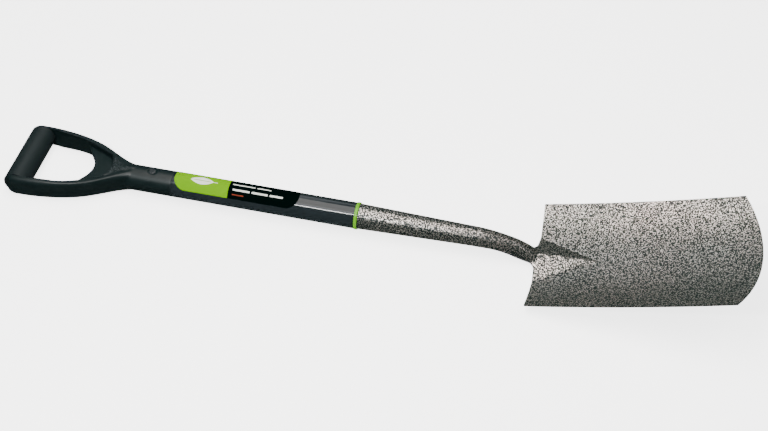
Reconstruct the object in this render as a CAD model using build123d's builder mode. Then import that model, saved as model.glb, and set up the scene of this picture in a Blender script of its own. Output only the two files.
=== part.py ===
"""Garden digging spade: D handle, sleeved steel shaft and a pressed head with its own socket.

The spade lies face up on a floor, the way it rests by itself, with +X towards the blade's tip,
+Y across the blade and +Z up. Stations called `x` run along the shaft from the collar ring.
Stations called `p`, `q` and `h` run along, across and up from the middle of the blade's top edge.
"""
import os
from math import asin, atan2, cos, hypot, pi, radians, sin

from build123d import *

os.makedirs("parts", exist_ok=True)

# ---- Driving dimensions, mm and degrees ---------------------------------------------------------

# Shaft: a steel tube in a plastic sleeve, swaged at its lower end to fit the socket's taper.
tube_od = 30.0
tube_wall = 1.5
tube_top = -316.0
fit_gap = 0.05
tube_bottom = 112.0
sleeve_od = 35.0
sleeve_top = -254.0

# Collar ring between the sleeve and the socket's mouth.
ring_width = 4.4
ring_od = 36.6
ring_round = 0.8

# Head: one steel pressing. Its socket tapers from the mouth to a cranked neck.
sheet = 2.0
socket_mouth_od = 34.2
socket_end_od = 26.4
socket_end = 160.0
blade_top = (242.4, -26.7)
blade_pitch = 16.0
blade_length = 290.0
blade_corner_length = 265.5
blade_half_width_top = 93.7
blade_half_width_tip = 96.3
blade_dish_radius = 291.0
blade_sag = 3.7
blade_corner_round = 5.0
blade_shoulder_round = 1.0
flare_radius = 12.0
neck_half_width = 11.5

# Frog: the ridge with two flat flanks that carries the neck's load into the blade.
frog_height = 15.0
frog_half_width = 40.0
frog_length = 79.0
frog_apex_height = -2.6
frog_crest_bulge = 1.2
frog_start = -26.0
frog_opening_start = -6.0

# D handle: a moulded body that carries a soft sleeve on its crossbar.
grip_x = -461.0
grip_radius = 17.0
core_radius = 12.0
grip_half_length = 49.8
arm_top = 16.5
arm_low_top = 13.8
web_top = 5.0
handle_half_width = 57.5
outer_round = 9.0
rear_corner_round = 17.0
stem_radius = sleeve_od / 2
stem_nose_radius = 12.6
stem_nose = -350.0
stem_full = -312.0
panel_rise = 0.6
panel_end = -309.0

# Fasteners.
handle_rivet_x = -283.5
recess_radius = 6.6
recess_floor = 16.2
rivet_head_radius = 4.6
rivet_head_height = 1.1
rivet_shank_radius = 2.5
socket_rivet_x = 22.0
blind_head_radius = 4.4
blind_head_height = 1.5
blind_bulb_radius = 3.4
blind_bulb_height = 2.4

# Label: a thin wrap with round ends on the sleeve's upper side.
label_start = -251.0
label_end = -79.0
label_thickness = 0.25
label_half_angle = 66.0
label_corner = 18.0

# ---- Frames -------------------------------------------------------------------------------------

# Resting place: the crossbar's underside and the frog's two feet touch the floor.
pitch = radians(blade_pitch)
heel_h = frog_half_width ** 2 / (2 * blade_dish_radius) - sheet
heel_x = blade_top[0] - heel_h * sin(pitch)
heel_z = blade_top[1] + heel_h * cos(pitch)
heel_run = heel_x - grip_x
rest_tilt = asin(-grip_radius / hypot(heel_run, heel_z)) - atan2(heel_z, heel_run)

# The shaft's own planes, placed so that the whole spade is centred on the origin.
tip_x = blade_top[0] + blade_length * cos(pitch)
tip_z = blade_top[1] + blade_length * sin(pitch)
rear_end = grip_x * cos(rest_tilt) - grip_radius
front_end = tip_x * cos(rest_tilt) - tip_z * sin(rest_tilt)
ring_place = (-(rear_end + front_end) / 2, 0, grip_radius - grip_x * sin(rest_tilt))
along = (cos(rest_tilt), 0, sin(rest_tilt))
upward = (-sin(rest_tilt), 0, cos(rest_tilt))
across = Plane(origin=ring_place, x_dir=(0, 1, 0), z_dir=along)
plan = Plane(origin=ring_place, x_dir=along, z_dir=upward)
side = Plane(origin=ring_place, x_dir=along, z_dir=(0, -1, 0))
shaft_axis = Axis(ring_place, along)

# The blade's own planes.
blade_tilt = pitch + rest_tilt
blade_along = (cos(blade_tilt), 0, sin(blade_tilt))
blade_upward = (-sin(blade_tilt), 0, cos(blade_tilt))
blade_place = side.from_local_coords((blade_top[0], blade_top[1], 0))
blade_plan = Plane(origin=blade_place, x_dir=blade_along, z_dir=blade_upward)
blade_side = Plane(origin=blade_place, x_dir=blade_along, z_dir=(0, -1, 0))
blade_across = Plane(origin=blade_place, x_dir=(0, 1, 0), z_dir=blade_along)

# Neck stations: place x, height, fall in degrees, and the section's two half axes.
neck_stations = [
    (socket_end, 0.0, 0.0, socket_end_od / 2, socket_end_od / 2),
    (181.0, -1.2, 5.0, 12.5, 12.5),
    (202.0, -5.0, 14.0, 12.0, 12.0),
    (222.0, -11.8, 22.0, 12.2, 11.2),
    (238.0, -17.9, 17.0, 12.6, 7.1),
    (256.0, -20.8, 4.0, 9.0, 3.0),
]
socket_mouth = ring_width / 2


def socket_radius(x):
    """Outer radius of the socket's straight taper."""
    share = x / socket_end
    return (socket_mouth_od + (socket_end_od - socket_mouth_od) * share) / 2


def neck_plane(x, z, fall):
    """Plane square to the neck's centre line, which falls by `fall` degrees there."""
    centre = side.from_local_coords((x, z, 0))
    slope = radians(fall) - rest_tilt
    return Plane(origin=centre, x_dir=(0, 1, 0), z_dir=(cos(slope), 0, -sin(slope)))


def keep(part, name):
    """Label a finished sub-part and write it under its node's name."""
    part.label = name
    export_step(part, f"parts/{name}.step")


# ---- Shaft --------------------------------------------------------------------------------------

with BuildPart() as shaft_tube:
    swage_start = socket_mouth
    swage_radius = socket_radius(tube_bottom) - sheet - fit_gap
    with BuildSketch(side):
        with BuildLine():
            Polyline(
                (tube_top, tube_od / 2 - tube_wall),
                (tube_top, tube_od / 2),
                (swage_start, tube_od / 2),
                (tube_bottom, swage_radius),
                (tube_bottom, swage_radius - tube_wall),
                (swage_start, tube_od / 2 - tube_wall),
                close=True,
            )
        make_face()
    revolve(axis=shaft_axis)
    with BuildSketch(plan.offset(-sleeve_od)):
        with Locations((handle_rivet_x, 0)):
            Circle(rivet_shank_radius)
    extrude(amount=2 * sleeve_od, mode=Mode.SUBTRACT)
    with BuildSketch(plan):
        with Locations((socket_rivet_x, 0)):
            Circle(rivet_shank_radius)
    extrude(amount=-sleeve_od, mode=Mode.SUBTRACT)
keep(shaft_tube.part, "shaft_tube")

with BuildPart() as shaft_sleeve:
    with BuildSketch(across.offset(sleeve_top)):
        Circle(sleeve_od / 2)
        Circle(tube_od / 2, mode=Mode.SUBTRACT)
    extrude(amount=-sleeve_top - ring_width / 2)
keep(shaft_sleeve.part, "shaft_sleeve")

with BuildPart() as collar_ring:
    with BuildSketch(across.offset(-ring_width / 2)):
        Circle(ring_od / 2)
        Circle(tube_od / 2, mode=Mode.SUBTRACT)
    extrude(amount=ring_width)
    fillet(collar_ring.edges().filter_by(GeomType.CIRCLE).group_by(SortBy.RADIUS)[-1], ring_round)
keep(collar_ring.part, "collar_ring")

# ---- Head ---------------------------------------------------------------------------------------

# The sheet's face follows this lengthwise arc, which sags a little between the blade's ends.
overrun = 12.0
overrun_rise = blade_sag * 4 * overrun / blade_length
with BuildLine(blade_side) as spine:
    ThreePointArc(
        (-overrun, overrun_rise),
        (blade_length / 2, -blade_sag),
        (blade_length + overrun, overrun_rise),
    )


def dished_band(below, above):
    """Sketch square to the spine's start: a band of the dish from `below` to `above` its face."""
    start = Plane(origin=spine.line @ 0, x_dir=(0, 1, 0), z_dir=spine.line % 0)
    reach = blade_half_width_tip + 6.0
    with BuildSketch(start) as band:
        with BuildLine():
            arcs = []
            for offset in (below, above):
                radius = blade_dish_radius - offset
                rise = blade_dish_radius - (radius ** 2 - reach ** 2) ** 0.5
                arcs.append(ThreePointArc((-reach, rise), (0, offset), (reach, rise)))
            Line(arcs[0] @ 0, arcs[1] @ 0)
            Line(arcs[0] @ 1, arcs[1] @ 1)
        make_face()
    return band.sketch


def frog_wedge(lowering, start):
    """Solid under the frog's two flanks, lowered by a thickness and cut off at p = `start`."""
    depth = 60.0
    foot_rise = frog_half_width ** 2 / (2 * blade_dish_radius)
    sections = []
    for p in (start, 0.0, 20.0, 40.0, 60.0, frog_length - 1.0):
        left = (frog_length - p) / frog_length
        bulge = frog_crest_bulge * sin(pi * min(left, 1.0))
        crest = frog_apex_height + (frog_height - frog_apex_height) * left + bulge - lowering
        foot = frog_apex_height + (foot_rise - frog_apex_height) * left - lowering
        reach = frog_half_width * left
        with BuildSketch(blade_across.offset(p)) as section:
            with BuildLine():
                flanks = [(-reach, foot), (0, crest), (reach, foot)]
                Polyline(*flanks, (reach, -depth), (-reach, -depth), close=True)
            make_face()
        sections.append(section.sketch)
    with BuildPart() as wedge:
        loft(sections, ruled=True)
    return wedge.part


def neck_tube(thinning):
    """Solid of the socket and the cranked neck, smaller by `thinning` all round."""
    with BuildSketch(across.offset(socket_mouth)) as mouth:
        Circle(socket_radius(socket_mouth) - thinning)
    with BuildSketch(across.offset(socket_end)) as throat:
        Circle(socket_radius(socket_end) - thinning)
    sections = []
    for x, z, fall, half_width, half_height in neck_stations:
        with BuildSketch(neck_plane(x, z, fall)) as section:
            Ellipse(half_width - thinning, half_height - thinning)
        sections.append(section.sketch)
    with BuildPart() as tube:
        loft([mouth.sketch, throat.sketch], ruled=True)
        loft(sections)
    return tube.part


with BuildPart() as frog:
    add(frog_wedge(lowering=0.0, start=frog_start))
    sweep(dished_band(-sheet, 50.0), path=spine.line, mode=Mode.INTERSECT)

with BuildPart() as blade:
    sweep(dished_band(-sheet, 0.0), path=spine.line)
    add(frog.part)
    with BuildSketch(blade_plan.offset(-40)) as blade_outline:
        with BuildLine():
            Polyline(
                (blade_corner_length, -blade_half_width_tip),
                (0, -blade_half_width_top),
                (0, -neck_half_width),
                (frog_start, -neck_half_width),
                (frog_start, neck_half_width),
                (0, neck_half_width),
                (0, blade_half_width_top),
                (blade_corner_length, blade_half_width_tip),
            )
            ThreePointArc(
                (blade_corner_length, blade_half_width_tip),
                (blade_length, 0),
                (blade_corner_length, -blade_half_width_tip),
            )
        make_face()
        down_blade = Axis(blade_place, blade_along)
        by_reach = blade_outline.vertices().group_by(lambda v: abs(v.Y))
        fillet(by_reach[0].sort_by(down_blade)[-2:], flare_radius)
        outer_corners = [v for v in blade_outline.vertices() if abs(v.Y) > blade_half_width_top - 1]
        shoulders = [v for v in outer_corners if abs(v.Y) < blade_half_width_top + 0.1]
        fillet(shoulders, blade_shoulder_round)
        fillet([v for v in outer_corners if abs(v.Y) > blade_half_width_tip - 0.1], blade_corner_round)
    extrude(amount=120, mode=Mode.INTERSECT)
    add(frog_wedge(lowering=sheet, start=frog_start - 1), mode=Mode.SUBTRACT)
    add(neck_tube(0.0))
    add(frog_wedge(lowering=sheet, start=frog_opening_start), mode=Mode.SUBTRACT)
    add(neck_tube(sheet), mode=Mode.SUBTRACT)
    with BuildSketch(plan):
        with Locations((socket_rivet_x, 0)):
            Circle(rivet_shank_radius)
    extrude(amount=-sleeve_od, mode=Mode.SUBTRACT)
keep(blade.part, "blade")

# ---- D handle -----------------------------------------------------------------------------------

# Outer outline of one arm, from the crossbar's end to the stem.
arm_points = [
    (grip_x + 6, handle_half_width),
    (-424.0, 55.4),
    (-394.0, 50.0),
    (-364.0, 39.6),
    (-338.0, 25.2),
    (-320.0, 16.2),
    (-300.0, 10.5),
]
rear_line = grip_x - grip_radius + 0.5

# Level of the arms' narrow tops. It falls from the crossbar to the crotch and rises to the stem.
top_points = [
    (-450.0, arm_top),
    (-422.0, 14.9),
    (-396.0, arm_low_top),
    (-345.0, arm_low_top),
    (-302.0, 17.2),
]

# Inner wall of one arm, from the crossbar to the raised panel on the crotch.
wall_front = (-443.5, grip_half_length)
wall_points = [wall_front, (-420.0, 46.2), (-400.0, 43.4), (-372.0, 33.2), (-348.5, 21.5)]
panel_edge = -341.5

# Hand opening between the arms. It ends in a rounded crotch.
hole_rear = grip_x - 30.0
crotch_points = [(-390.0, 45.0), (-379.5, 25.5), (-373.6, 16.0), (-369.3, 0.0)]
crotch_corner = 5.0


def mirrored(point):
    """The same place on the other arm."""
    return (point[0], -point[1])


def pocket():
    """Outline of the whole space between the arms, up to the raised panel."""
    with BuildSketch() as outline:
        with BuildLine():
            wall = Spline(*wall_points)
            mirror(wall, about=Plane.XZ)
            rear_corner = (hole_rear, grip_half_length)
            Polyline(wall_front, rear_corner, mirrored(rear_corner), mirrored(wall_front))
            ThreePointArc(wall_points[-1], (panel_edge, 0), mirrored(wall_points[-1]))
        make_face()
    return outline.sketch


def stem(swell):
    """Round stem that grows out of the crotch, larger by `swell` all round."""
    with BuildPart() as shape:
        with BuildSketch(side):
            with BuildLine():
                Polyline(
                    (stem_nose, 0),
                    (stem_nose, stem_nose_radius + swell),
                    (stem_full, stem_radius + swell),
                    (sleeve_top, stem_radius + swell),
                    (sleeve_top, 0),
                    close=True,
                )
            make_face()
        revolve(axis=shaft_axis)
    return shape.part


with BuildPart() as panel:
    add(stem(panel_rise))
    with BuildSketch(plan.offset(-arm_low_top - panel_rise)):
        with Locations((stem_nose, 0)):
            Rectangle(4 * stem_radius, 4 * stem_radius)
    extrude(amount=2 * (arm_low_top + panel_rise))
    with BuildSketch(plan.offset(-2 * arm_top)):
        with BuildLine():
            Line((-360.0, 24.0), (-360.0, -24.0))
            flank = Spline(
                (-360.0, 24.0),
                (-348.5, 20.5),
                (-328.0, 8.5),
                (panel_end, 0),
                tangents=[(1, -0.2), (1, -0.35)],
            )
            mirror(flank, about=Plane.XZ)
        make_face()
    extrude(amount=4 * arm_top, mode=Mode.INTERSECT)

with BuildPart() as handle_body:
    with BuildSketch(plan.offset(-arm_top)):
        with BuildLine():
            arm = Spline(*arm_points, tangents=[(1, 0), (1, -0.25)])
            mirror(arm, about=Plane.XZ)
            Line(arm_points[-1], mirrored(arm_points[-1]))
            FilletPolyline(
                arm_points[0],
                (rear_line, handle_half_width),
                (rear_line, -handle_half_width),
                mirrored(arm_points[0]),
                radius=rear_corner_round,
            )
        make_face()
    extrude(amount=2 * arm_top)
    rims = handle_body.faces().filter_by(Axis(ring_place, upward)).edges()
    arm_rims = [edge for edge in rims if plan.to_local_coords(edge @ 0.5).X < arm_points[-1][0] - 0.1]
    fillet(arm_rims, outer_round)
    with BuildSketch(side):
        with BuildLine():
            upper = Spline(*top_points, tangents=[(1, 0), (1, 0.1)])
            lower = Spline(*[mirrored(point) for point in top_points], tangents=[(1, 0), (1, -0.1)])
            Polyline(upper @ 0, (hole_rear, arm_top), (hole_rear, -arm_top), lower @ 0)
            Line(upper @ 1, lower @ 1)
        make_face()
    extrude(amount=2 * handle_half_width, both=True, mode=Mode.INTERSECT)
    add(stem(0.0))
    add(panel.part)
    with BuildSketch(plan.offset(-2 * arm_top)) as opening:
        add(pocket())
        with BuildLine():
            crotch = Spline(*crotch_points, *[mirrored(point) for point in crotch_points[-2::-1]])
            front = (crotch_points[0][0], handle_half_width)
            rear = (hole_rear, handle_half_width)
            Polyline(crotch @ 0, front, rear, mirrored(rear), mirrored(front), crotch @ 1)
        make_face(mode=Mode.INTERSECT)
        corners = opening.vertices().filter_by(lambda v: -395 < v.X - ring_place[0] < -380)
        fillet(corners, crotch_corner)
    extrude(amount=4 * arm_top, mode=Mode.SUBTRACT)
    for web_face, direction in ((web_top, 1), (-web_top, -1)):
        with BuildSketch(plan.offset(web_face)):
            add(pocket())
        extrude(amount=direction * 2 * arm_top, mode=Mode.SUBTRACT)
    with BuildSketch(side):
        with Locations((grip_x, 0)):
            Circle(core_radius)
    extrude(amount=grip_half_length + 4, both=True)
    with BuildSketch(across.offset(tube_top)):
        Circle(tube_od / 2)
    extrude(amount=sleeve_top - tube_top, mode=Mode.SUBTRACT)
    for level, direction in ((recess_floor, 1), (-recess_floor, -1)):
        with BuildSketch(plan.offset(level)):
            with Locations((handle_rivet_x, 0)):
                Circle(recess_radius)
        extrude(amount=direction * recess_radius, mode=Mode.SUBTRACT)
    with BuildSketch(plan.offset(-sleeve_od)):
        with Locations((handle_rivet_x, 0)):
            Circle(rivet_shank_radius)
    extrude(amount=2 * sleeve_od, mode=Mode.SUBTRACT)
keep(handle_body.part, "handle_body")

with BuildPart() as grip_sleeve:
    with BuildSketch(side):
        with Locations((grip_x, 0)):
            Circle(grip_radius)
            Circle(core_radius, mode=Mode.SUBTRACT)
    extrude(amount=grip_half_length, both=True)
keep(grip_sleeve.part, "grip_sleeve")

# ---- Rivets -------------------------------------------------------------------------------------

with BuildPart() as handle_rivet:
    with BuildSketch(side):
        with BuildLine():
            left = handle_rivet_x
            shank = left + rivet_shank_radius
            rim = left + rivet_head_radius
            crown = recess_floor + rivet_head_height
            shoulder = recess_floor + rivet_head_height / 3
            Line((left, -crown), (left, crown))
            Spline((left, crown), (rim, shoulder), tangents=[(1, 0), (0.5, -1)])
            Polyline(
                (rim, shoulder),
                (rim, recess_floor),
                (shank, recess_floor),
                (shank, -recess_floor),
                (rim, -recess_floor),
                (rim, -shoulder),
            )
            Spline((rim, -shoulder), (left, -crown), tangents=[(-0.5, -1), (-1, 0)])
        make_face()
    revolve(axis=Axis(side.from_local_coords((handle_rivet_x, 0, 0)), upward))
keep(handle_rivet.part, "handle_rivet")

with BuildPart() as socket_rivet:
    seat = -socket_radius(socket_rivet_x - blind_head_radius)
    tube_bore = socket_radius(socket_rivet_x + blind_bulb_radius) - sheet - fit_gap - tube_wall
    tube_inside = fit_gap - (tube_bore ** 2 - blind_bulb_radius ** 2) ** 0.5
    with BuildSketch(side):
        with BuildLine():
            left = socket_rivet_x
            shank = left + rivet_shank_radius
            rim = left + blind_head_radius
            bulb = left + blind_bulb_radius
            inner_end = tube_inside + blind_bulb_height
            Polyline(
                (rim, seat),
                (shank, seat),
                (shank, tube_inside),
                (bulb, tube_inside),
                (bulb, inner_end),
                (left, inner_end),
                (left, seat - blind_head_height),
            )
            Spline((left, seat - blind_head_height), (rim, seat), tangents=[(1, 0), (0.4, 1)])
        make_face()
    revolve(axis=Axis(side.from_local_coords((socket_rivet_x, 0, 0)), upward))
keep(socket_rivet.part, "socket_rivet")

# ---- Label --------------------------------------------------------------------------------------

with BuildPart() as label:
    with BuildSketch(across.offset(label_start)):
        with BuildLine():
            wraps = [
                CenterArc((0, 0), radius, 90 - label_half_angle, 2 * label_half_angle)
                for radius in (sleeve_od / 2, sleeve_od / 2 + label_thickness)
            ]
            Line(wraps[0] @ 0, wraps[1] @ 0)
            Line(wraps[0] @ 1, wraps[1] @ 1)
        make_face()
    extrude(amount=label_end - label_start)
    with BuildSketch(plan):
        reach = radians(label_half_angle) * sleeve_od / 2
        with BuildLine():
            corner = []
            for turn in (0, 22.5, 45, 67.5, 90):
                inward = label_corner * (1 - cos(radians(turn)))
                around = (reach - label_corner + label_corner * sin(radians(turn))) / (sleeve_od / 2)
                corner.append((label_start + inward, (sleeve_od / 2 + label_thickness) * sin(around)))
            middle = (label_start + label_end) / 2
            Spline(*corner)
            Spline(*[(x, -y) for x, y in corner])
            Spline(*[(2 * middle - x, y) for x, y in corner])
            Spline(*[(2 * middle - x, -y) for x, y in corner])
            for x, y in (corner[0], (2 * middle - corner[0][0], corner[0][1])):
                Line((x, y), (x, -y))
            for side_sign in (1, -1):
                start_x, edge_y = corner[-1]
                Line((start_x, side_sign * edge_y), (2 * middle - start_x, side_sign * edge_y))
        make_face()
    extrude(amount=sleeve_od, mode=Mode.INTERSECT)
keep(label.part, "label")
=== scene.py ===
from math import cos, radians, sin

import bpy
from mathutils import Matrix, Vector


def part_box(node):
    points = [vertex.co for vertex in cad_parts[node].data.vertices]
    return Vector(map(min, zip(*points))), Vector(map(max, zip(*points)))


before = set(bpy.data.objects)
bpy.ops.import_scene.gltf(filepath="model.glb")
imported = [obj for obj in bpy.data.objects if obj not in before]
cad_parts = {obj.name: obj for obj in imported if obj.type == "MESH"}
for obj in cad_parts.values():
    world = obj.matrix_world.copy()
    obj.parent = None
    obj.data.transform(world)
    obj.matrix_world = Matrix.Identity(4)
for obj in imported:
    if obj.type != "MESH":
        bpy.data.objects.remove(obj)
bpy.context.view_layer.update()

MM = 0.001

# ---- The tool's own frame: origin at the collar ring, +X along the shaft, +Z up ----------------


def box_middle(node):
    low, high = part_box(node)
    return (Vector(low) + Vector(high)) / 2


RING = box_middle("collar_ring")
GRIP = box_middle("grip_sleeve")
ALONG = (RING - GRIP).normalized()
ACROSS = Vector((0, 1, 0))
UPWARD = ALONG.cross(ACROSS)

# ---- Stations in that frame where a finish changes ----------------------------------------------

SLEEVE_RADIUS = 17.5 * MM

PANEL_START = -346 * MM         # the stippled triangle on the handle's crotch
PANEL_END = -311 * MM
PANEL_HALF_WIDTH = 18 * MM
PANEL_LEVEL = 12.5 * MM         # it lies on the faces further than this above and below the axis

LABEL_SPLIT = -175 * MM         # green field before it, dark field after it
LABEL_TOP_LINE = 93             # degrees around the sleeve, from level on the near side
LABEL_LEAF_LINE = 84
LABEL_MAIN_LINE = 66
LABEL_LOW_LINE = 44

FROG_HALF_WIDTH = 55 * MM       # creases are softened inside it, and the sheet's edges stay crisp
CREASE_RADIUS = 3 * MM

# ---- Shader helpers -----------------------------------------------------------------------------


class Shader:
    """A material's node tree, with short calls to add nodes and join them."""

    def __init__(self, name):
        self.material = bpy.data.materials.new(name)
        self.material.use_nodes = True
        self.nodes = self.material.node_tree.nodes
        self.links = self.material.node_tree.links
        self.surface = self.nodes["Principled BSDF"]

    def put(self, socket, value):
        """Join an output to a socket, or set the socket to a plain value."""
        if isinstance(value, bpy.types.NodeSocket):
            self.links.new(value, socket)
        else:
            socket.default_value = value

    def add(self, kind, output, settings=None, **inputs):
        """Add a node. An underscore in an input's name stands for a space."""
        node = self.nodes.new(kind)
        for key, value in (settings or {}).items():
            setattr(node, key, value)
        for key, value in inputs.items():
            self.put(node.inputs[key.replace("_", " ")], value)
        return node.outputs[output]

    def math(self, operation, *values):
        node = self.nodes.new("ShaderNodeMath")
        node.operation = operation
        for socket, value in zip(node.inputs, values):
            self.put(socket, value)
        return node.outputs[0]

    def vector(self, operation, *values, output="Vector"):
        node = self.nodes.new("ShaderNodeVectorMath")
        node.operation = operation
        for socket, value in zip(node.inputs, values):
            self.put(socket, value)
        return node.outputs[output]

    def rest(self, share):
        """What is left of 1 beside `share`."""
        return self.math("SUBTRACT", 1.0, share)

    def step(self, value, edge, softness):
        """0 below `edge`, 1 above it, with a soft change as wide as `softness`."""
        return self.add("ShaderNodeMapRange", "Result", {"interpolation_type": "SMOOTHSTEP"},
                        Value=value, From_Min=edge - softness / 2, From_Max=edge + softness / 2)

    def spread(self, value, low, high):
        """Map 0..1 to low..high."""
        return self.add("ShaderNodeMapRange", "Result", None, Value=value, To_Min=low, To_Max=high)

    def place(self):
        """Position in the part's frame, in metres: every node's object sits at the origin."""
        return self.add("ShaderNodeTexCoord", "Object")

    def tool(self):
        """Stations along, across and up in the tool's own frame."""
        from_ring = self.vector("SUBTRACT", self.place(), tuple(RING))
        along = self.vector("DOT_PRODUCT", from_ring, tuple(ALONG), output="Value")
        across = self.vector("DOT_PRODUCT", from_ring, tuple(ACROSS), output="Value")
        upward = self.vector("DOT_PRODUCT", from_ring, tuple(UPWARD), output="Value")
        return along, across, upward

    def noise(self, scale, detail=2.0, roughness=0.5, stretch=None):
        """Noise with `scale` features to the metre. A small stretch[0] draws it out along X."""
        where = self.place()
        if stretch:
            where = self.vector("MULTIPLY", where, stretch)
        return self.add("ShaderNodeTexNoise", "Fac", None, Vector=where, Scale=scale,
                        Detail=detail, Roughness=roughness)

    def mix(self, share, first, second):
        """Colour mix: `first` at a share of 0, `second` at 1."""
        node = self.nodes.new("ShaderNodeMix")
        node.data_type = "RGBA"
        self.put(node.inputs["Factor"], share)
        for socket, value in ((node.inputs[6], first), (node.inputs[7], second)):
            self.put(socket, (*value, 1) if isinstance(value, tuple) else value)
        return node.outputs[2]

    def bump(self, height, depth, strength=1.0, normal=None):
        """Bump `depth` metres deep, on top of an earlier normal if one is given."""
        extra = {"Normal": normal} if normal else {}
        return self.add("ShaderNodeBump", "Normal", None, Height=height, Distance=depth,
                        Strength=strength, **extra)

    def finish(self, **inputs):
        """Set the surface's sockets and give the finished material."""
        for key, value in inputs.items():
            if isinstance(value, tuple):
                value = (*value, 1)
            self.put(self.surface.inputs[key.replace("_", " ")], value)
        return self.material


# ---- Materials ----------------------------------------------------------------------------------


def hammered_paint(name):
    """Hammered enamel: bright metallic cells in a dark grey-green net, in warm and cool patches."""
    s = Shader(name)
    cells = s.noise(620, 0.0)
    blotches = s.noise(28, 3.0, 0.6)
    level = s.math("ADD", cells, s.math("MULTIPLY", s.math("SUBTRACT", blotches, 0.5), 0.06))
    flake = s.step(level, 0.575, 0.12)
    bright = s.mix(s.noise(9, 2.0), (0.450, 0.480, 0.442), (0.640, 0.535, 0.500))
    colour = s.mix(flake, (0.0075, 0.0140, 0.0115), bright)
    across = s.math("ABSOLUTE", s.tool()[1])
    near_frog = s.rest(s.step(across, FROG_HALF_WIDTH, 20 * MM))
    crease = s.math("MULTIPLY", near_frog, CREASE_RADIUS)
    soft = s.add("ShaderNodeBevel", "Normal", {"samples": 8}, Radius=crease)
    return s.finish(Base_Color=colour, Metallic=s.math("MULTIPLY", flake, 0.97),
                    Roughness=s.spread(flake, 0.46, 0.29),
                    Normal=s.bump(cells, 0.4 * MM, 0.4, soft), Specular_IOR_Level=0.30)


def sleeve_plastic():
    """Glossy dark grey sleeve with faint lengthwise rubbing."""
    s = Shader("sleeve_plastic")
    rubs = s.noise(900, 3.0, 0.6, stretch=(0.02, 1, 1))
    clouds = s.noise(35, 3.0, 0.6)
    colour = s.mix(clouds, (0.0100, 0.0145, 0.0165), (0.0155, 0.0210, 0.0235))
    roughness = s.math("ADD", s.spread(clouds, 0.07, 0.11), s.math("MULTIPLY", rubs, 0.04))
    return s.finish(Base_Color=colour, Roughness=roughness,
                    Normal=s.bump(rubs, 0.01 * MM, 0.3), Specular_IOR_Level=0.25)


def ring_plastic():
    """Green plastic ring with a painted highlight: its rims are painted slightly paler."""
    s = Shader("ring_plastic")
    grain = s.noise(600, 3.0)
    clouds = s.noise(90, 2.0)
    along = s.tool()[0]
    painted_rim_highlight = s.step(s.math("ABSOLUTE", along), 2.5 * MM, 0.8 * MM)
    colour = s.mix(clouds, (0.105, 0.345, 0.005), (0.132, 0.412, 0.010))
    # Painted highlight: the ring's rims are painted paler, as if lit along their edges.
    colour = s.mix(s.math("MULTIPLY", painted_rim_highlight, 0.35), colour, (0.375, 0.750, 0.125))
    return s.finish(Base_Color=colour, Roughness=s.spread(grain, 0.25, 0.42),
                    Normal=s.bump(grain, 0.03 * MM, 0.5), Specular_IOR_Level=0.20)


def stippled_panel(s, along, across, upward):
    """Share of the crotch's panel: a triangle that narrows from its start to its end."""
    reach = s.add("ShaderNodeMapRange", "Result", None, Value=along, From_Min=PANEL_START,
                  From_Max=PANEL_END, To_Min=PANEL_HALF_WIDTH, To_Max=0.0)
    inside = s.math("SUBTRACT", reach, s.math("ABSOLUTE", across))
    panel = s.math("MULTIPLY", s.step(inside, 0.8 * MM, 0.8 * MM),
                   s.step(s.math("ABSOLUTE", upward), PANEL_LEVEL, 1.5 * MM))
    return s.math("MULTIPLY", panel, s.step(along, PANEL_START, 0.6 * MM))


def handle_plastic():
    """Charcoal moulding: fine grain, a parting line, worn edges and a stippled panel with painted
    highlights on its pips.
    """
    s = Shader("handle_plastic")
    along, across, upward = s.tool()
    grain = s.noise(1400, 2.0)
    clouds = s.noise(40, 3.0, 0.6)
    panel = stippled_panel(s, along, across, upward)
    dots = s.add("ShaderNodeTexVoronoi", "Distance", None, Vector=s.place(), Scale=480)
    pips = s.math("MULTIPLY", s.rest(s.step(dots, 0.35, 0.4)), panel)
    parting = s.rest(s.step(s.math("ABSOLUTE", upward), 0.25 * MM, 0.3 * MM))
    worn = s.step(s.add("ShaderNodeNewGeometry", "Pointiness"), 0.535, 0.05)
    colour = s.mix(clouds, (0.0025, 0.0080, 0.0085), (0.0045, 0.0110, 0.0115))
    colour = s.mix(s.math("MULTIPLY", worn, 0.3), colour, (0.020, 0.030, 0.031))
    # Painted highlight: the panel's raised pips are painted paler, as if catching light.
    colour = s.mix(s.math("MULTIPLY", pips, 0.7), colour, (0.045, 0.055, 0.060))
    height = s.bump(grain, 0.05 * MM, 0.5)
    height = s.bump(pips, 0.35 * MM, 0.8, height)
    height = s.bump(parting, 0.12 * MM, 0.6, height)
    roughness = s.math("ADD", s.spread(clouds, 0.31, 0.42), s.math("MULTIPLY", panel, 0.15))
    return s.finish(Base_Color=colour, Roughness=roughness, Normal=height,
                    Specular_IOR_Level=0.30)


def grip_soft():
    """Soft-touch grip: satin and finely pebbled, in slightly lighter and darker patches."""
    s = Shader("grip_soft")
    pebbles = s.noise(1100, 2.0)
    clouds = s.noise(30, 3.0, 0.6)
    colour = s.mix(clouds, (0.0055, 0.0105, 0.0115), (0.0085, 0.0145, 0.0155))
    return s.finish(Base_Color=colour, Roughness=s.spread(clouds, 0.50, 0.62),
                    Normal=s.bump(pebbles, 0.08 * MM, 0.5), Specular_IOR_Level=0.30)


def coated_steel():
    """Dark coated rivet with bare flecks."""
    s = Shader("rivet_steel")
    flecks = s.step(s.noise(700, 3.0, 0.7), 0.62, 0.06)
    colour = s.mix(flecks, (0.015, 0.020, 0.022), (0.125, 0.125, 0.130))
    return s.finish(Base_Color=colour, Metallic=s.spread(flecks, 0.0, 0.8),
                    Roughness=s.spread(flecks, 0.40, 0.50), Specular_IOR_Level=0.30,
                    Normal=s.bump(s.noise(500), 0.05 * MM, 0.5))


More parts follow.
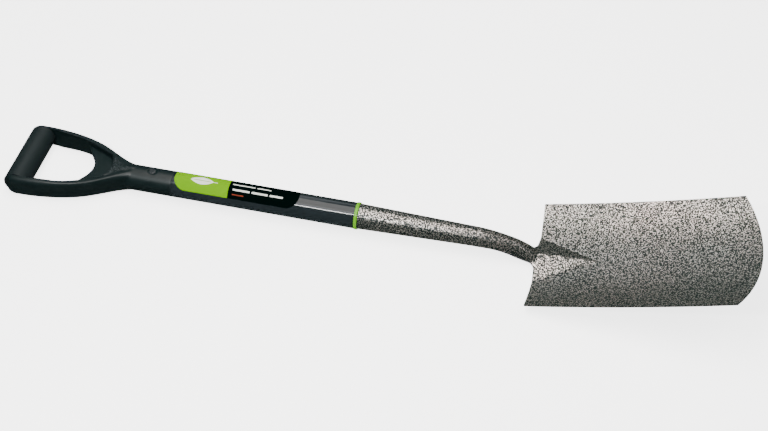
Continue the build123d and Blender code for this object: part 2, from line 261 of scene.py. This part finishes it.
def drawn_steel():
    """Drawn steel tube with lengthwise lines."""
    s = Shader("tube_steel")
    lines = s.noise(1500, 3.0, 0.6, stretch=(0.01, 1, 1))
    colour = s.mix(lines, (0.36, 0.36, 0.37), (0.52, 0.52, 0.53))
    return s.finish(Base_Color=colour, Metallic=1.0, Roughness=s.spread(lines, 0.25, 0.42),
                    Normal=s.bump(lines, 0.02 * MM, 0.5))


def label_film():
    """Printed film: a green field with a leaf, and a dark field with plain bars."""
    s = Shader("label_film")
    along, across, upward = s.tool()
    around = s.math("MULTIPLY", s.math("ARCTAN2", upward, s.math("MULTIPLY", across, -1.0)),
                    SLEEVE_RADIUS)

    def from_point(station, angle, shift=0.0):
        """Distances along and around the sleeve from a station in mm and an angle in degrees."""
        return (s.math("SUBTRACT", along, station * MM),
                s.math("SUBTRACT", around, radians(angle) * SLEEVE_RADIUS + shift * MM))

    def inside(u, v, radius):
        """Share within `radius` mm of the point where both distances are zero."""
        away = s.math("SQRT", s.math("ADD", s.math("MULTIPLY", u, u), s.math("MULTIPLY", v, v)))
        return s.rest(s.step(away, radius * MM, 0.3 * MM))

    def beyond(distance, reach):
        """How far a distance goes past `reach` mm, either way."""
        return s.math("MAXIMUM", s.math("SUBTRACT", s.math("ABSOLUTE", distance), reach * MM), 0.0)

    def bar(start, end, angle, height, rounding=0.4):
        """Share of a bar with rounded corners. All but its angle is in mm."""
        u, v = from_point((start + end) / 2, angle)
        return inside(beyond(u, (end - start) / 2 - rounding), beyond(v, height / 2 - rounding),
                      rounding)

    def disc(station, angle, shift, radius):
        """Share of a disc. Its middle is `shift` mm further around the sleeve than its angle."""
        return inside(*from_point(station, angle, shift), radius)

    def union(*shapes):
        total = shapes[0]
        for shape in shapes[1:]:
            total = s.math("MAXIMUM", total, shape)
        return total

    speckle = s.noise(500, 2.0)
    dark = s.step(along, LABEL_SPLIT, 0.4 * MM)
    leaf = s.math("MULTIPLY", disc(-213, LABEL_LEAF_LINE, 19, 25),
                  disc(-213, LABEL_LEAF_LINE, -19, 25))
    vein = bar(-240, -200, LABEL_LEAF_LINE, 0.8)
    stalk = bar(-200, -191, LABEL_LEAF_LINE, 1.0)
    top_bars = [bar(start, end, LABEL_TOP_LINE, 1.7) for start, end in ((-171, -140), (-137, -118))]
    main_bars = [bar(start, end, LABEL_MAIN_LINE, 2.6)
                 for start, end in ((-169, -146), (-143, -121), (-118, -100))]
    white = union(s.math("MULTIPLY", leaf, s.rest(vein)), stalk, *top_bars, *main_bars)
    red = bar(-169, -153, LABEL_LOW_LINE, 1.4)
    green = s.mix(speckle, (0.125, 0.325, 0.0), (0.142, 0.355, 0.0))
    colour = s.mix(dark, green, (0.0003, 0.0025, 0.0022))
    colour = s.mix(s.math("MULTIPLY", white, 0.92), colour, (0.85, 0.87, 0.80))
    colour = s.mix(red, colour, (0.212, 0.040, 0.022))
    return s.finish(Base_Color=colour, Roughness=s.spread(speckle, 0.40, 0.50),
                    Normal=s.bump(s.noise(160, 2.0), 0.05 * MM, 0.3), Specular_IOR_Level=0.0)


LOOKS = {
    "blade": hammered_paint("hammered_paint"),
    "socket_rivet": hammered_paint("socket_rivet_paint"),
    "shaft_tube": drawn_steel(),
    "shaft_sleeve": sleeve_plastic(),
    "collar_ring": ring_plastic(),
    "handle_body": handle_plastic(),
    "grip_sleeve": grip_soft(),
    "handle_rivet": coated_steel(),
    "label": label_film(),
}
for node_name, look in LOOKS.items():
    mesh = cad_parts[node_name].data
    mesh.materials.clear()
    mesh.materials.append(look)

# ---- Softened moulding --------------------------------------------------------------------------

# The remesh gives the moulding even faces, and the smoothing then rounds its sharp inner corners.
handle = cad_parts["handle_body"]
remesh = handle.modifiers.new("soften", "REMESH")
remesh.mode = "VOXEL"
remesh.voxel_size = 0.8 * MM
remesh.use_smooth_shade = True
smooth = handle.modifiers.new("melt", "SMOOTH")
smooth.factor = 0.5
smooth.iterations = 6

# ---- Floor and sky ------------------------------------------------------------------------------

FLOOR_SIDE = 12.0
SEEN_GLOW = 3.3                 # keeps the floor pale and its shadows faint
BOUNCE_GLOW = 0.4
FLOOR_GAP = 0.1 * MM
SKY_COLOUR = (0.72, 1, 0.88)
SKY_STRENGTH = 0.06


def pale_floor(name, glow):
    s = Shader(name)
    clouds = s.noise(3, 3.0)
    colour = s.mix(clouds, (0.90, 0.90, 0.90), (0.93, 0.93, 0.93))
    return s.finish(Base_Color=colour, Roughness=0.9, Specular_IOR_Level=0.1,
                    Emission_Color=(1, 1, 1), Emission_Strength=glow)


def add_floor(name, height, glow):
    bpy.ops.mesh.primitive_plane_add(size=FLOOR_SIDE, location=(0, 0, height))
    floor = bpy.context.object
    floor.name = name
    floor.data.materials.append(pale_floor(name, glow))
    floor.visible_glossy = False
    return floor


def add_sky():
    sky = bpy.data.worlds.new("studio")
    bpy.context.scene.world = sky
    sky.use_nodes = True
    background = sky.node_tree.nodes["Background"]
    background.inputs["Color"].default_value = (*SKY_COLOUR, 1)
    background.inputs["Strength"].default_value = SKY_STRENGTH


# The camera sees the bright floor. The dim one, just below it, is what lights the spade from below.
seen_floor = add_floor("seen_floor", 0.0, SEEN_GLOW)
seen_floor.visible_diffuse = False
seen_floor.visible_shadow = False
bounce_floor = add_floor("bounce_floor", -FLOOR_GAP, BOUNCE_GLOW)
bounce_floor.visible_camera = False
add_sky()

# ---- Studio lights ------------------------------------------------------------------------------

WHOLE_AIM = Vector((0.0, 0.0, 0.0))
BLADE_AIM = Vector((0.32, 0.03, 0.05))
NECK_AIM = Vector((0.20, 0.0, 0.04))
SHAFT_AIM = Vector((-0.1, 0.0, 0.02))

WHITE = (1.0, 1.0, 1.0)
WARM = (1.0, 0.940, 0.905)
COOL = (0.93, 0.97, 1.0)

# name, aim, place from the aim, watts, size along the spade, size across it, colour
LIGHTS = (
    ("fill", WHOLE_AIM, (0.0, 0.0, 3.2), 52.0, 4.0, 4.0, WHITE),
    ("softbox", BLADE_AIM, (-0.56, -0.06, 1.42), 28.0, 0.90, 1.45, WARM),
    ("side_card", BLADE_AIM, (-0.84, -0.96, 1.45), 5.6, 0.65, 0.38, COOL),
    ("front_card", NECK_AIM, (0.86, 0.05, 1.40), 4.8, 0.90, 0.60, WHITE),
    ("back_card", SHAFT_AIM, (-0.52, 1.42, 1.60), 3.8, 0.34, 1.60, COOL),
    ("strip", SHAFT_AIM, (-0.27, -1.27, 1.40), 18.4, 0.33, 0.10, WHITE),
)


def add_light(name, aim, offset, watts, length, width, colour):
    """An area light that faces its aim, with its length along the spade."""
    data = bpy.data.lights.new(name, "AREA")
    data.energy = watts
    data.shape = "RECTANGLE"
    data.size = length
    data.size_y = width
    data.color = colour
    light = bpy.data.objects.new(name, data)
    bpy.context.scene.collection.objects.link(light)
    back = Vector(offset).normalized()
    wide = ACROSS.cross(back).normalized()
    turn = Matrix((wide, back.cross(wide), back)).transposed()
    light.matrix_world = Matrix.Translation(aim + Vector(offset)) @ turn.to_4x4()
    return light


studio = {row[0]: add_light(*row) for row in LIGHTS}
studio["fill"].visible_glossy = False

# ---- Camera -------------------------------------------------------------------------------------

CAMERA_AIM = Vector((0.01398, 0.00236, 0.030))
CAMERA_DISTANCE = 1.9672
CAMERA_AZIMUTH = radians(10.99)
CAMERA_ELEVATION = radians(45.22)
CAMERA_ROLL = radians(2.49)
CAMERA_LENS = 69.87             # in mm, as is the sensor's width
SENSOR_WIDTH = 36.0


def add_camera():
    back = Vector((sin(CAMERA_AZIMUTH) * cos(CAMERA_ELEVATION),
                   -cos(CAMERA_AZIMUTH) * cos(CAMERA_ELEVATION),
                   sin(CAMERA_ELEVATION)))
    data = bpy.data.cameras.new("camera")
    data.lens = CAMERA_LENS
    data.sensor_width = SENSOR_WIDTH
    camera = bpy.data.objects.new("camera", data)
    bpy.context.scene.collection.objects.link(camera)
    level = Vector((cos(CAMERA_AZIMUTH), sin(CAMERA_AZIMUTH), 0))
    up = back.cross(level)
    right = level * cos(CAMERA_ROLL) + up * sin(CAMERA_ROLL)
    up = back.cross(right)
    turn = Matrix((right, up, back)).transposed()
    place = CAMERA_AIM + back * CAMERA_DISTANCE
    camera.matrix_world = Matrix.Translation(place) @ turn.to_4x4()
    bpy.context.scene.camera = camera


add_camera()
